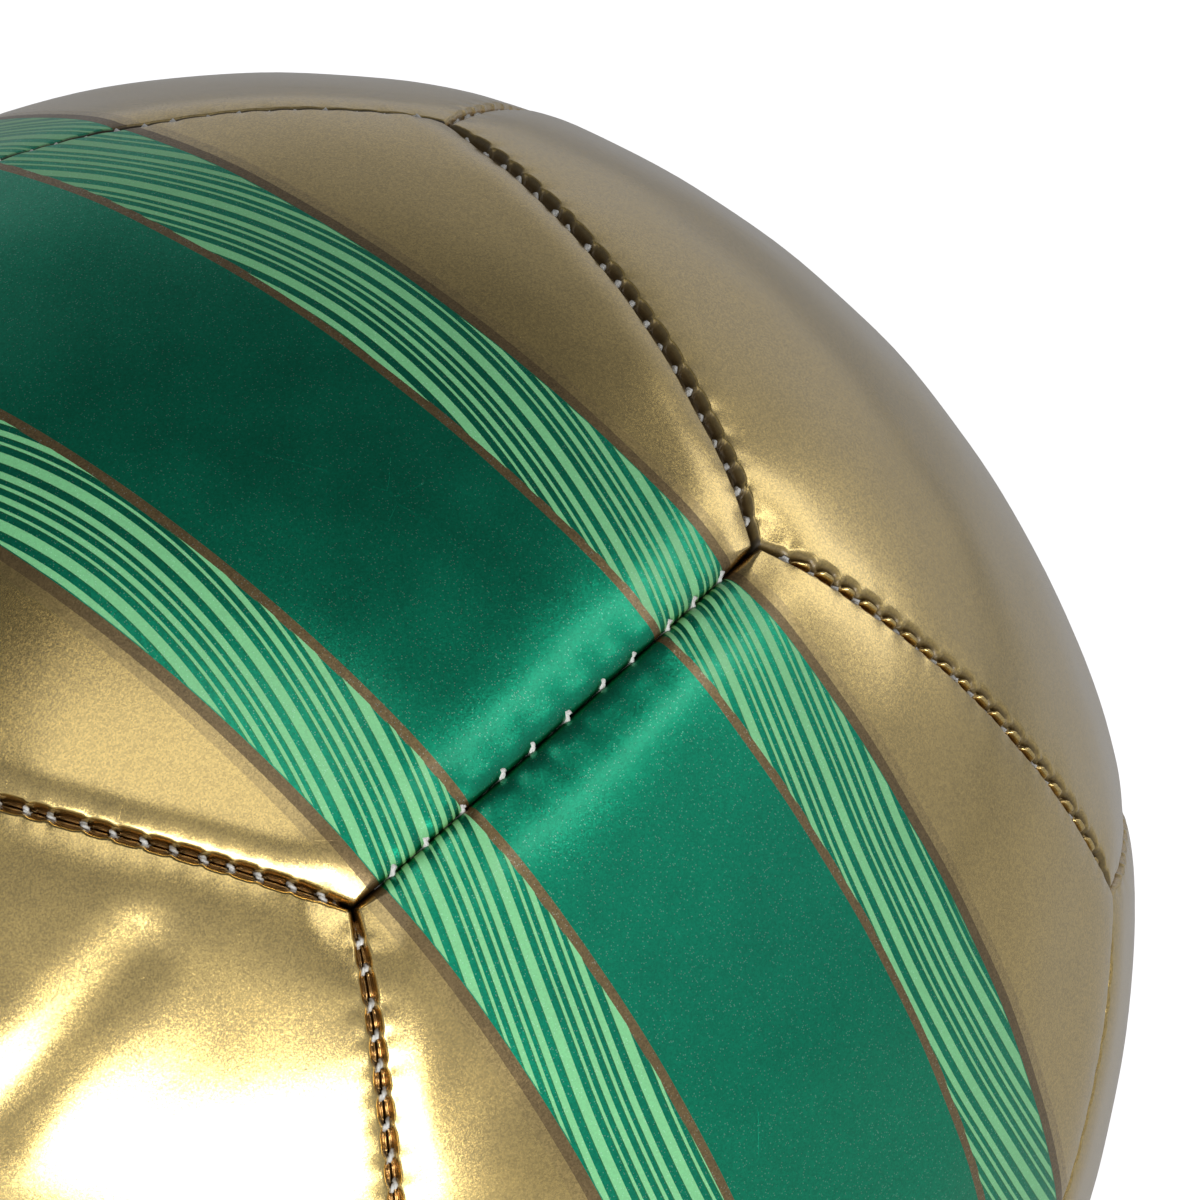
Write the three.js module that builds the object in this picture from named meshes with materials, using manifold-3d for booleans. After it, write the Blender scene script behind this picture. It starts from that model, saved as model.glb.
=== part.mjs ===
// A stitched mini soccer ball: twelve pentagonal panels with turned-in edges, their cloth linings,
// thirty sewn seams, and an inflated bladder with its valve.

import * as THREE from "three";
import { mergeVertices } from "three/addons/utils/BufferGeometryUtils.js";
import Module from "manifold-3d";

// Driving dimensions, in millimetres

// Ball
const CROWN_RADIUS = 74.6; // ball centre to the middle of a panel
const CORNER_RISE = 1.3; // how much further out a corner lies, where three panels meet
const FIT = 0.3; // clearance between two pieces that lie against each other
const CLOSING_DRAW = 2.7; // how far the seam that is sewn last is drawn in at one end
const CLOSING_REACH = 25; // how far from that end the panels give way

// Cover panels
const COVER_THICKNESS = 1.6; // vinyl with its foam backing
const SEAM_GAP = 0.8; // between the turned-in edges of two panels
const BEND_RADIUS = 2; // of the rolled edge
const SEAM_ALLOWANCE = 3; // turned-in edge below the bend

// Linings
const LINING_THICKNESS = 0.8;

// Seam threads
const THREAD_DIAMETER = 0.7;
const STITCH_PITCH = 2.6;
const STITCH_SWING = 0.25; // how far the thread leans to each side of the seam
const THREAD_END = 1.6; // from a corner to the end of a thread

// Bladder
const BLADDER_WALL = 0.9;

// Valve
const VALVE_RECESS = 0.4; // of the valve's face below the panel
const VALVE_NECK_DIAMETER = 9;
const VALVE_BASE_DIAMETER = 26;
const VALVE_BASE_THICKNESS = 1.2;
const VALVE_STEM_DIAMETER = 7.6; // inside the bladder
const VALVE_STEM_LENGTH = 7; // below the base
const PLUG_HEAD_DIAMETER = 6;
const PLUG_HEAD_HEIGHT = 1;
const PLUG_DIAMETER = 4;
const PLUG_DISH_DIAMETER = 3.6;
const PLUG_DISH_DEPTH = 0.7;
const NEEDLE_HOLE_DIAMETER = 1.6;

// How the ball lies: turns about its X, Y and Z axes
const TURN_X_DEGREES = 44.1;
const TURN_Y_DEGREES = 20.6;
const TURN_Z_DEGREES = 44.1;

// Fineness of the facets
const PANEL_STEPS = 4; // along each side of a panel
const BEND_STEPS = 2;
const THREAD_SIDES = 4;
const BLADDER_STEPS = 10; // from pole to pole
const BASE_STEPS = 2; // across the curved base of the valve
const ROUND_SIDES = 24;

// Colours and finishes
const MATERIALS = {
  gold: { color: 0xb4934f, roughness: 0.32, metalness: 0.75 },
  green: { color: 0x0b6b48, roughness: 0.32, metalness: 0.35 },
  thread: { color: 0xd6d2c8, roughness: 0.8, metalness: 0 },
  cloth: { color: 0xd9d2c2, roughness: 0.95, metalness: 0 },
  bladder: { color: 0x2a2a2c, roughness: 0.6, metalness: 0 },
  valve: { color: 0x1c1c1d, roughness: 0.55, metalness: 0 },
};
for (const [name, finish] of Object.entries(MATERIALS)) {
  MATERIALS[name] = new THREE.MeshStandardMaterial(finish);
}

// Regular dodecahedron: its faces are the panels, its edges the seams
const PENTAGON_SIDES = 5;
const GOLDEN = (1 + Math.sqrt(5)) / 2;
const EDGE_ANGLE = Math.atan(1 / GOLDEN); // at the ball centre, panel middle to the middle of a seam
const CORNER_ANGLE = Math.atan(1 / (GOLDEN * Math.cos(Math.PI / PENTAGON_SIDES))); // to a corner
const SEAM_ANGLE = 2 * Math.acos(Math.cos(CORNER_ANGLE) / Math.cos(EDGE_ANGLE)); // corner to corner

// Each panel bulges as part of a sphere larger than the ball, whose centre lies behind the ball's
const CORNER_RADIUS = CROWN_RADIUS + CORNER_RISE;
const DOME_SHIFT =
  (CORNER_RADIUS ** 2 - CROWN_RADIUS ** 2) /
  (2 * (CROWN_RADIUS - CORNER_RADIUS * Math.cos(CORNER_ANGLE)));
const DOME_RADIUS = CROWN_RADIUS + DOME_SHIFT;

// Radius of the ball's outside at an angle from the middle of the panel
function surfaceRadius(angle) {
  const across = DOME_SHIFT * Math.sin(angle);
  return Math.sqrt(DOME_RADIUS ** 2 - across ** 2) - DOME_SHIFT * Math.cos(angle);
}

// Sizes that follow from the driving dimensions
const EDGE_RADIUS = surfaceRadius(EDGE_ANGLE);
const INNER_BEND = Math.max(BEND_RADIUS - COVER_THICKNESS, FIT);
const ALLOWANCE_RADIUS = EDGE_RADIUS - BEND_RADIUS - SEAM_ALLOWANCE; // free end of a turned-in edge
const FACET_SHARE = Math.cos(SEAM_ANGLE / PANEL_STEPS / 2); // middle of a panel facet to its corners
const LINING_RADIUS = CROWN_RADIUS - COVER_THICKNESS - FIT; // outside of a lining's middle
const LINING_HOLLOW = (LINING_RADIUS - LINING_THICKNESS) * FACET_SHARE;
const BLADDER_RADIUS =
  Math.min(ALLOWANCE_RADIUS * FACET_SHARE, LINING_HOLLOW - VALVE_BASE_THICKNESS - FIT) - FIT;

// Vertices and triangles of one closed skin
class Skin {
  positions = [];
  triangles = [];

  // Adds a ring of points and returns their numbers
  ring(points) {
    const first = this.positions.length / 3;
    points.forEach((point) => this.positions.push(point.x, point.y, point.z));
    return points.map((_, i) => first + i);
  }

  // Joins two rings of as many points with a band of triangles
  band(upper, lower) {
    const count = upper.length;
    for (let i = 0; i < count; i++) {
      const next = (i + 1) % count;
      this.triangles.push(upper[i], lower[i], lower[next], upper[i], lower[next], upper[next]);
    }
  }

  // Joins a ring of a pentagon grid to the next one in, which has one point less on each side
  narrow(outer, inner) {
    const steps = outer.length / PENTAGON_SIDES;
    for (let side = 0; side < PENTAGON_SIDES; side++) {
      for (let i = 0; i < steps; i++) {
        const a = outer[side * steps + i];
        const b = outer[(side * steps + i + 1) % outer.length];
        const c = inner[(side * (steps - 1) + i) % inner.length];
        this.triangles.push(a, b, c);
        if (i > 0) {
          this.triangles.push(inner[side * (steps - 1) + i - 1], a, c);
        }
      }
    }
  }

  // Closes a ring with a flat fan
  cap(ring) {
    for (let i = 1; i < ring.length - 1; i++) {
      this.triangles.push(ring[0], ring[i], ring[i + 1]);
    }
  }

  // Turns the triangles added since a mark to face the other way
  flipFrom(mark) {
    for (let i = mark; i < this.triangles.length; i += 3) {
      [this.triangles[i], this.triangles[i + 1]] = [this.triangles[i + 1], this.triangles[i]];
    }
  }

  geometry() {
    const made = new THREE.BufferGeometry();
    made.setAttribute("position", new THREE.Float32BufferAttribute(this.positions, 3));
    made.setIndex(this.triangles);
    made.computeVertexNormals();
    return made;
  }
}

// Directions around a pentagon whose sides lie at a distance (inset) inside the seams,
// drawn towards the panel's middle by a share, with so many steps on each side
function pentagonDirections(inset, share, steps) {
  const apothem = Math.tan(EDGE_ANGLE - inset / EDGE_RADIUS) * share;
  const reach = apothem / Math.cos(Math.PI / PENTAGON_SIDES);
  const corner = (side) => {
    const angle = (side * 2 * Math.PI) / PENTAGON_SIDES;
    return new THREE.Vector3(reach * Math.cos(angle), reach * Math.sin(angle), 1);
  };
  const directions = [];
  for (let side = 0; side < PENTAGON_SIDES; side++) {
    for (let i = 0; i < steps; i++) {
      directions.push(corner(side).lerp(corner(side + 1), i / steps).normalize());
    }
  }
  return directions;
}

const PANEL_AXIS = new THREE.Vector3(0, 0, 1);

// Points on a pentagon ring of a panel, at a depth below the ball's outside
function panelRing(inset, depth, share = 1, steps = PANEL_STEPS) {
  return pentagonDirections(inset, share, steps).map((direction) =>
    direction.multiplyScalar(surfaceRadius(direction.angleTo(PANEL_AXIS)) - depth),
  );
}

// Lays a pentagon grid of triangles over the dome inside a rim and returns the rim
function layDome(skin, inset, depth) {
  const rim = skin.ring(panelRing(inset, depth));
  let outer = rim;
  for (let steps = PANEL_STEPS - 1; steps > 0; steps--) {
    const inner = skin.ring(panelRing(inset, depth, steps / PANEL_STEPS, steps));
    skin.narrow(outer, inner);
    outer = inner;
  }
  const middle = skin.ring([new THREE.Vector3(0, 0, CROWN_RADIUS - depth)]);
  skin.narrow(outer, middle);
  return rim;
}

// Profile of the rolled edge: distance from the seam and depth below the ball's outside
function bendProfile() {
  const profile = [];
  for (let step = 0; step <= BEND_STEPS; step++) {
    const angle = (step / BEND_STEPS) * (Math.PI / 2);
    profile.push({
      inset: SEAM_GAP / 2 + BEND_RADIUS * (1 - Math.sin(angle)),
      depth: BEND_RADIUS * (1 - Math.cos(angle)),
    });
  }
  return profile;
}

// Cover panel: a domed pentagon whose edges roll over and turn in, as an open box does
function coverGeometry() {
  const skin = new Skin();
  const [shoulder, ...roll] = bendProfile();
  let above = layDome(skin, shoulder.inset, shoulder.depth);
  const innerInset = SEAM_GAP / 2 + COVER_THICKNESS;
  const endRing = (inset) =>
    pentagonDirections(inset, 1, PANEL_STEPS).map((way) => way.multiplyScalar(ALLOWANCE_RADIUS));
  const rings = [
    ...roll.map(({ inset, depth }) => panelRing(inset, depth)),
    endRing(SEAM_GAP / 2),
    endRing(innerInset),
    panelRing(innerInset, COVER_THICKNESS + INNER_BEND),
  ];
  for (const points of rings) {
    const below = skin.ring(points);
    skin.band(above, below);
    above = below;
  }
  const mark = skin.triangles.length;
  const rim = layDome(skin, innerInset + INNER_BEND, COVER_THICKNESS);
  skin.flipFrom(mark);
  skin.band(above, rim);
  return skin.geometry();
}

// Lining: a domed sheet of cloth behind the cover, inside its turned-in edges
function liningGeometry() {
  const skin = new Skin();
  const inset = SEAM_GAP / 2 + COVER_THICKNESS + INNER_BEND + FIT;
  const depth = COVER_THICKNESS + FIT;
  const upper = layDome(skin, inset, depth);
  const mark = skin.triangles.length;
  const lower = layDome(skin, inset, depth + LINING_THICKNESS);
  skin.flipFrom(mark);
  skin.band(upper, lower);
  return skin.geometry();
}

// Depth in the groove between two rolled edges at which it is so wide to each side of the seam
function grooveDepth(halfWidth) {
  const profile = bendProfile();
  for (let i = 1; i < profile.length; i++) {
    const [above, below] = [profile[i - 1], profile[i]];
    if (halfWidth >= below.inset) {
      const share = (above.inset - halfWidth) / (above.inset - below.inset);
      return above.depth + Math.max(share, 0) * (below.depth - above.depth);
    }
  }
  return BEND_RADIUS;
}

// Seam thread: one strand that swings from side to side along the groove, a swing to each stitch
function threadGeometry() {
  const radius = THREAD_DIAMETER / 2;
  const depth = grooveDepth(radius + STITCH_SWING + FIT);
  const length = SEAM_ANGLE * (EDGE_RADIUS - depth) - 2 * THREAD_END;
  const stitches = Math.floor(length / STITCH_PITCH);
  const angleStep = STITCH_PITCH / (EDGE_RADIUS - depth);
  const skin = new Skin();
  let above;
  for (let stitch = 0; stitch <= stitches; stitch++) {
    const along = (stitch - stitches / 2) * angleStep;
    const panelAngle = Math.acos(Math.cos(EDGE_ANGLE) * Math.cos(along));
    const centre = surfaceRadius(panelAngle) - depth;
    const swing = stitch % 2 ? STITCH_SWING : -STITCH_SWING;
    const points = [];
    for (let side = 0; side < THREAD_SIDES; side++) {
      const angle = (side / THREAD_SIDES) * 2 * Math.PI;
      const out = centre + radius * Math.cos(angle);
      const across = swing + radius * Math.sin(angle);
      points.push(new THREE.Vector3(out * Math.sin(along), across, out * Math.cos(along)));
    }
    const ring = skin.ring(points);
    if (above) {
      skin.band(above, ring);
    } else {
      skin.cap(ring);
    }
    above = ring;
  }
  skin.cap(above.toReversed());
  return skin.geometry();
}

// Turns a closed profile of [radius, height] points about the Z axis
function turnedGeometry(profile) {
  const points = [...profile, profile[0]].map(([radius, height]) => new THREE.Vector2(radius, height));
  return new THREE.LatheGeometry(points, ROUND_SIDES).rotateX(Math.PI / 2);
}

// Points of an arc about the ball centre, from one distance off the axis to another
function arcAcross(radius, fromRadius, toRadius, steps) {
  const from = Math.asin(fromRadius / radius);
  const to = Math.asin(toRadius / radius);
  const points = [];
  for (let step = 0; step <= steps; step++) {
    const angle = from + ((to - from) * step) / steps;
    points.push([radius * Math.sin(angle), radius * Math.cos(angle)]);
  }
  return points;
}

// Bladder: a thin sphere, open where the valve's stem goes in
function bladderGeometry() {
  const hole = VALVE_STEM_DIAMETER / 2 + FIT;
  const shell = (radius) => {
    const from = Math.asin(hole / radius);
    const points = [];
    for (let step = 0; step < BLADDER_STEPS; step++) {
      const angle = from + ((Math.PI - from) * step) / BLADDER_STEPS;
      points.push([radius * Math.sin(angle), radius * Math.cos(angle)]);
    }
    points.push([0, -radius]);
    return points;
  };
  const outside = shell(BLADDER_RADIUS);
  const inside = shell(BLADDER_RADIUS - BLADDER_WALL);
  return turnedGeometry([...inside, ...outside.toReversed()]);
}

const VALVE_FACE = CROWN_RADIUS - VALVE_RECESS;
const BASE_BOTTOM = BLADDER_RADIUS + FIT;
const BASE_TOP = BASE_BOTTOM + VALVE_BASE_THICKNESS;
const STEM_BOTTOM = BASE_BOTTOM - VALVE_STEM_LENGTH;
const PLUG_HEAD_BOTTOM = VALVE_FACE - PLUG_HEAD_HEIGHT;

// Valve body: neck, curved base and stem, bored through for the plug, with a seat for its head
function valveBodyGeometry() {
  const neck = VALVE_NECK_DIAMETER / 2;
  const base = VALVE_BASE_DIAMETER / 2;
  const stem = VALVE_STEM_DIAMETER / 2;
  const bore = PLUG_DIAMETER / 2 + FIT;
  const seat = PLUG_HEAD_DIAMETER / 2 + FIT;
  return turnedGeometry([
    [bore, STEM_BOTTOM],
    [stem, STEM_BOTTOM],
    ...arcAcross(BASE_BOTTOM, stem, base, BASE_STEPS),
    ...arcAcross(BASE_TOP, base, neck, BASE_STEPS),
    [neck, VALVE_FACE],
    [seat, VALVE_FACE],
    [seat, PLUG_HEAD_BOTTOM - FIT],
    [bore, PLUG_HEAD_BOTTOM - FIT],
  ]);
}

// Valve plug: a headed insert with a dish that leads a pump needle into its hole
function valvePlugGeometry() {
  const hole = NEEDLE_HOLE_DIAMETER / 2;
  const body = PLUG_DIAMETER / 2;
  const head = PLUG_HEAD_DIAMETER / 2;
  const dish = PLUG_DISH_DIAMETER / 2;
  return turnedGeometry([
    [hole, STEM_BOTTOM],
    [body, STEM_BOTTOM],
    [body, PLUG_HEAD_BOTTOM],
    [head, PLUG_HEAD_BOTTOM],
    [head, VALVE_FACE],
    [dish, VALVE_FACE],
    [hole, VALVE_FACE - PLUG_DISH_DEPTH],
  ]);
}

// Cuts by boolean difference
const wasm = await Module();
wasm.setup();

function solidOf(geometry) {
  const bare = geometry.clone();
  bare.deleteAttribute("normal");
  bare.deleteAttribute("uv");
  const merged = mergeVertices(bare);
  const vertProperties = merged.attributes.position.array;
  const triVerts = new Uint32Array(merged.index.array);
  return new wasm.Manifold(new wasm.Mesh({ numProp: 3, vertProperties, triVerts }));
}

function cutGeometry(geometry, tool) {
  const { vertProperties, triVerts } = solidOf(geometry).subtract(solidOf(tool)).getMesh();
  const made = new THREE.BufferGeometry();
  made.setAttribute("position", new THREE.BufferAttribute(vertProperties, 3));
  made.setIndex(new THREE.BufferAttribute(triVerts, 1));
  made.computeVertexNormals();
  return made;
}

// Drill for the valve's neck, long enough to pass through cover and lining
function neckDrill() {
  const radius = VALVE_NECK_DIAMETER / 2 + FIT;
  const length = 2 * (CROWN_RADIUS - BLADDER_RADIUS);
  return new THREE.CylinderGeometry(radius, radius, length, ROUND_SIDES)
    .rotateX(Math.PI / 2)
    .translate(0, 0, CROWN_RADIUS);
}

// Directions of the dodecahedron's corners and panel middles, with the seams along its edges
const SIGNS = [1, -1];

function cycled(x, y, z) {
  return [
    new THREE.Vector3(x, y, z),
    new THREE.Vector3(z, x, y),
    new THREE.Vector3(y, z, x),
  ];
}

const corners = [];
const panelMiddles = [];
for (const a of SIGNS) {
  for (const b of SIGNS) {
    corners.push(...SIGNS.map((c) => new THREE.Vector3(a, b, c)));
    corners.push(...cycled(0, a * GOLDEN, b / GOLDEN));
    panelMiddles.push(...cycled(0, a, b * GOLDEN));
  }
}
[...corners, ...panelMiddles].forEach((direction) => direction.normalize());

const SAME_ANGLE = 0.01;
const near = (a, b, angle) => Math.abs(a.angleTo(b) - angle) < SAME_ANGLE;

// Rotation that lays +Z along one direction and turns +X towards another
function facing(outward, towards) {
  const y = new THREE.Vector3().crossVectors(outward, towards).normalize();
  const x = new THREE.Vector3().crossVectors(y, outward);
  return new THREE.Quaternion().setFromRotationMatrix(new THREE.Matrix4().makeBasis(x, y, outward));
}

const ball = new THREE.Group();
ball.rotation.set(
  THREE.MathUtils.degToRad(TURN_X_DEGREES),
  THREE.MathUtils.degToRad(TURN_Y_DEGREES),
  THREE.MathUtils.degToRad(TURN_Z_DEGREES),
);

// The closing seam is the last one sewn: it runs across the printed belt, and one end is drawn in
const CLOSING_MIDDLE = new THREE.Vector3(0, 0, 1);
const CLOSING_END = new THREE.Vector3(-Math.sin(SEAM_ANGLE / 2), 0, Math.cos(SEAM_ANGLE / 2));
const CLOSING_WAY = CLOSING_MIDDLE.clone().projectOnPlane(CLOSING_END).normalize();

// Moves points along the ball's surface, the more the nearer they are to the end that is drawn in
function drawIn(geometry) {
  const position = geometry.getAttribute("position");
  const point = new THREE.Vector3();
  for (let i = 0; i < position.count; i++) {
    point.fromBufferAttribute(position, i);
    const radius = point.length();
    const away = point.normalize().distanceTo(CLOSING_END) * CROWN_RADIUS;
    const share = Math.exp(-0.5 * (away / CLOSING_REACH) ** 2);
    point.addScaledVector(CLOSING_WAY, (share * CLOSING_DRAW) / CROWN_RADIUS).setLength(radius);
    position.setXYZ(i, point.x, point.y, point.z);
  }
  geometry.computeVertexNormals();
  return geometry;
}

function addPiece(name, geometry, material, turn) {
  const placed = drawIn(geometry.clone().applyQuaternion(turn));
  const mesh = new THREE.Mesh(placed, MATERIALS[material]);
  mesh.name = name;
  ball.add(mesh);
}

const numbered = (name, index) => `${name}_${String(index + 1).padStart(2, "0")}`;

// The printed belt runs round the X axis, over the panels whose middles lie on its plane
const BELT_AXIS = new THREE.Vector3(1, 0, 0);
// The valve is in the plain panel that lies nearest to this direction
const VALVE_SIDE = new THREE.Vector3(1, 0, -1);

const valvePanel = panelMiddles.reduce((best, middle) =>
  middle.angleTo(VALVE_SIDE) < best.angleTo(VALVE_SIDE) ? middle : best,
);
const cover = coverGeometry();
const lining = liningGeometry();
const drill = neckDrill();
const valveCover = cutGeometry(cover, drill);
const valveLining = cutGeometry(lining, drill);

panelMiddles.forEach((middle, i) => {
  const turn = facing(middle, corners.find((corner) => near(corner, middle, CORNER_ANGLE)));
  const hasValve = middle === valvePanel;
  const colour = near(middle, BELT_AXIS, Math.PI / 2) ? "green" : "gold";
  addPiece(numbered("cover_panel", i), hasValve ? valveCover : cover, colour, turn);
  addPiece(numbered("lining_panel", i), hasValve ? valveLining : lining, "cloth", turn);
  if (hasValve) {
    addPiece("bladder", bladderGeometry(), "bladder", turn);
    addPiece("valve_body", valveBodyGeometry(), "valve", turn);
    addPiece("valve_plug", valvePlugGeometry(), "valve", turn);
  }
});

const thread = threadGeometry();
const seams = corners.flatMap((from, i) =>
  corners.slice(i + 1).filter((to) => near(from, to, SEAM_ANGLE)).map((to) => [from, to]),
);
seams.forEach(([from, to], i) => {
  const middle = from.clone().add(to).normalize();
  addPiece(numbered("seam_thread", i), thread, "thread", facing(middle, to));
});

const miniBall = new THREE.Group();
miniBall.add(ball);

export default miniBall;
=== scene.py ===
import math
from itertools import combinations

import bpy
import numpy as np
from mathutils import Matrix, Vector


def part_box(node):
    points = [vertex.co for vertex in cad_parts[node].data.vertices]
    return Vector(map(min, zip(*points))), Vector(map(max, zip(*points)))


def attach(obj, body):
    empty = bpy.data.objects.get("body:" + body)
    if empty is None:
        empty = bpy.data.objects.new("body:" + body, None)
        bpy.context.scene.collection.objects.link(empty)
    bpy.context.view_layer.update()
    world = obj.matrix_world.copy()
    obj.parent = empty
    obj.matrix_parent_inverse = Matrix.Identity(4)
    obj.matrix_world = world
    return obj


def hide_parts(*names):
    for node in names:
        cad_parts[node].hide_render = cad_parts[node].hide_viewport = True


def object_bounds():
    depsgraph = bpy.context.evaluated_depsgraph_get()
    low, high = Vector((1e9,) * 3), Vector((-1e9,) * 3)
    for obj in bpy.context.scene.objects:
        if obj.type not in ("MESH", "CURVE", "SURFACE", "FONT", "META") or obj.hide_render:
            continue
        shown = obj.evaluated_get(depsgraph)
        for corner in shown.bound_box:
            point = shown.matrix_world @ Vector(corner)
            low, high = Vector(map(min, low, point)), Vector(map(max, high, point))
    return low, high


# Looks of a stitched mini soccer ball: gold panels, a printed green belt, sewn seams and a valve.
# Lengths are in millimetres and angles in degrees, unless a name or a comment says otherwise.

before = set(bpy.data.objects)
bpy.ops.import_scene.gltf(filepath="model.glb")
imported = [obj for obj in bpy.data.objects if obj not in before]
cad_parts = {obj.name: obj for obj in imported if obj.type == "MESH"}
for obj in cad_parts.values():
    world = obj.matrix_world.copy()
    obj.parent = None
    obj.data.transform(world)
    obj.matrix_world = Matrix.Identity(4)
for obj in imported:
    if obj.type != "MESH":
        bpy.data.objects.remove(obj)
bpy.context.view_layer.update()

MM = 0.001
CLOSE = 0.01  # cosines that differ by less count as equal

# Random draws: a seed for all, and the numbers of two streams beside those of the seams
SEED = 7
SWELL_STREAM = 1000
FOLD_STREAM = 2000

# Panels
CROWN_RADIUS = 74.6  # ball centre to the middle of a panel
CORNER_RISE = 1.3  # how much further out a corner lies
COVER_THICKNESS = 1.6
LINING_THICKNESS = 0.8
FIT = 0.3  # clearance between two pieces that lie against each other
BLADDER_WALL = 0.9
ALLOWANCE_DEPTH = 5.2  # of a turned-in edge's free end below the panel's face
LIP_GAP = 0.06  # from a panel's edge to the middle of its seam
INNER_EDGE = 1.5 * (LIP_GAP + COVER_THICKNESS)  # from the seam to the inner face, past the bend

# Sewn edges
SHOULDER_DEPTH = 0.55  # slope of a panel down to a seam
SHOULDER_WIDTH = 4.5
SHOULDER_LEAST = 0.2  # least share of that slope, where it is drawn at random
ROLL_WIDTH = 0.6  # rounded edge, beyond the bead
ROLL_LEAST = 0.7  # share of that width where a panel doesn't slope
ROLL_DEPTH = 1.45
ROLL_POWER = 3  # how sharply two rolls meet at a corner
CORNER_BLEND = 6  # length over which a seam changes towards its ends
BEAD_WIDTH = 0.27  # bead along an edge, between two stitches
BEAD_LEAST = 0.08  # its width under a stitch
BEAD_LIFT = 0.5
BEAD_SHARE = 0.15  # of the pitch, which a stitch presses flat
GAPE = 0.52  # of each edge, where a seam stands open
GAPING_ROLL_WIDTH = 0.2
PAINTED_SHADE_DEPTH = 0.08  # of a roll, from which on it is fully dull and carries the full painted shade
DENT_DEPTH = 0.25  # beside a stitch
DENT_REACH = 0.7
DENT_SHARE = 0.26  # of the pitch, for a dent's width
PUCKER_DEPTH = 0.09
PUCKER_REACH = 4

# Closing seam, which is sewn last and from outside
CLOSING_DRAW = 2.7  # how far one of its ends is drawn in
CLOSING_REACH = 25  # how far from that end the panels give way
CLOSING_SINK = 0.78  # depth of the trough that it lies in
CLOSING_SINK_WIDTH = 3.9
CLOSING_ROLL_WIDTH = 1.6
CLOSING_ROLL_DEPTH = 0.9
CLOSING_DENT_DEPTH = 0.4
CLOSING_DENT_REACH = 1.9
CLOSING_PITCH = 4.55
CLOSING_SWING = -0.8
CLOSING_SEAT = 0.45  # its stitches lie on one panel only
CLOSING_DIVE = 6
CLOSING_STOUTNESS = 1.3

# Swell and folds of the cover, in the ball's own frame
SWELL_DEPTH = 0.055
SWELL_SHORTEST = 11
SWELL_LONGEST = 26
SWELL_WAVES = 30
FOLDS_A_PANEL = 2
FOLD_DEPTH = 0.09
FOLD_LEAST_WIDTH = 2.6
FOLD_MOST_WIDTH = 4.5
FOLD_NEAREST = 0.05  # from a panel's axis to its ends, as a tangent
FOLD_FURTHEST = 0.55
FOLD_LEAN = 0.2
LONG_FOLD = ((-0.536, 0.124, 0.835), (-0.731, 0.083, 0.677))  # directions of its ends
LONG_FOLD_DEPTH = 0.5

# Stitches
STITCH_PITCH = 2.6
STITCH_JITTER = 0.12  # share of the pitch
PULL_LEAST = 0.6  # how tight a stitch is
PULL_MOST = 1.3
THREAD_SWING = 0.36
THREAD_BOTTOM = 3.2  # below the panels' smooth faces
THREAD_SEAT = 0.3  # from the seam to where a stitch lies on each panel
THREAD_SINK = 0.12  # or rise, at most
THREAD_DIVE = 2  # the higher, the less of each stitch is up
PLY_RADIUS = 0.18
PLY_OFFSET = 0.14
PLY_TWIST_LENGTH = 1.3

# Valve, with heights from the ball's centre
VALVE_HOLE_RADIUS = 4.8
HOLE_ROUND = 0.35
HOLE_ROUND_MIDDLE = 0.3  # share of that depth, halfway round
VALVE_FACE = 74.2
VALVE_BOTTOM = 63.25
BASE_TOP = 71.45
BASE_BOTTOM = 70.25
BASE_RADIUS = 13
NECK_RADIUS = 4.5
STEM_RADIUS = 3.8
SEAT_RADIUS = 3.3
SEAT_DEPTH = 1.3
BORE_RADIUS = 2.3
PLUG_HEAD_RADIUS = 3
PLUG_HEAD_HEIGHT = 1
PLUG_RADIUS = 2
DISH_RADIUS = 1.8
DISH_DEPTH = 0.7
NEEDLE_RADIUS = 0.8
RUBBER_ROUND = 0.3

# Mesh fineness
GRID_STEPS = 24  # along each side of a panel's plain middle
GRID_INSET = 8  # from the seam to that middle
RIM_RATIO = 0.8
RIM_RINGS = 9
RIM_FINENESS = ((6.5, 1), (4.5, 2), (2.6, 4), (0, 8))  # insets, and parts of a grid step beyond each
LIP_RINGS = 18
HOLE_RINGS = 16
THREAD_STEPS = 16  # a stitch
THREAD_SIDES = 6
ROUND_STEPS = 4
TURN_SIDES = 64
SHELL_STEPS = 48

# Printed belt, in degrees from the great circle that it follows
BELT_SHIFT = 0.4
FIELD_EDGE = 8.8
INNER_LINE_EDGE = 9.55
STRIPES_EDGE = 16.8
OUTER_LINE_EDGE = 17.6
TAN_EDGE = 18.45
BELT_SPAN = 30  # over which the zones are laid out
STRIPE_PERIOD = 4.4
STRIPE_DRIFT = 6.3
DRIFT_WAVES = 3  # round the ball
PANEL_OFFSET = 1.6  # between the stripes of one panel and the next in number
STRIPE_WIDTHS = (0.72, 0.5, 0.22, 0.4, 0.42, 0.45, 0.24, 0.36, 0.48, 0.6)  # light and dark in turn
STRIPE_EDGE_WIDTH = 0.02  # share of the period

# Studio
CAMERA_ELEVATION = 30
CAMERA_DISTANCE = 2250
VIEW_WIDTH = 103.5
AIM_RIGHT = 29.2
AIM_UP = 29.4
SENSOR_WIDTH = 36
NEAREST_SEEN = 100
FURTHEST_SEEN = 100000
FLOOR_RADIUS = 4000
FLOOR_SIDES = 64
SEEN_WHITE = 0.85  # light that the floor adds where the camera looks at it
MIRRORED_WHITE = 0.07  # and where it is seen in a reflection
HORIZON_GREY = (0.42, 0.43, 0.47)
HORIZON_TOP = 17
CEILING_GREY = (0.09, 0.092, 0.098)
CEILING_EDGE = 58


def unit(vectors):
    return vectors / np.linalg.norm(vectors, axis=-1, keepdims=True)


def ease(share):
    """A share from 0 to 1 that starts and ends gently."""
    share = np.clip(share, 0, 1)
    return share * share * (3 - 2 * share)


def mixed(first, second, share):
    return first + (second - first) * share


def full_turn(count):
    """Angles in radians of equal steps round a circle."""
    return 2 * math.pi * np.arange(count) / count


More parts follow.
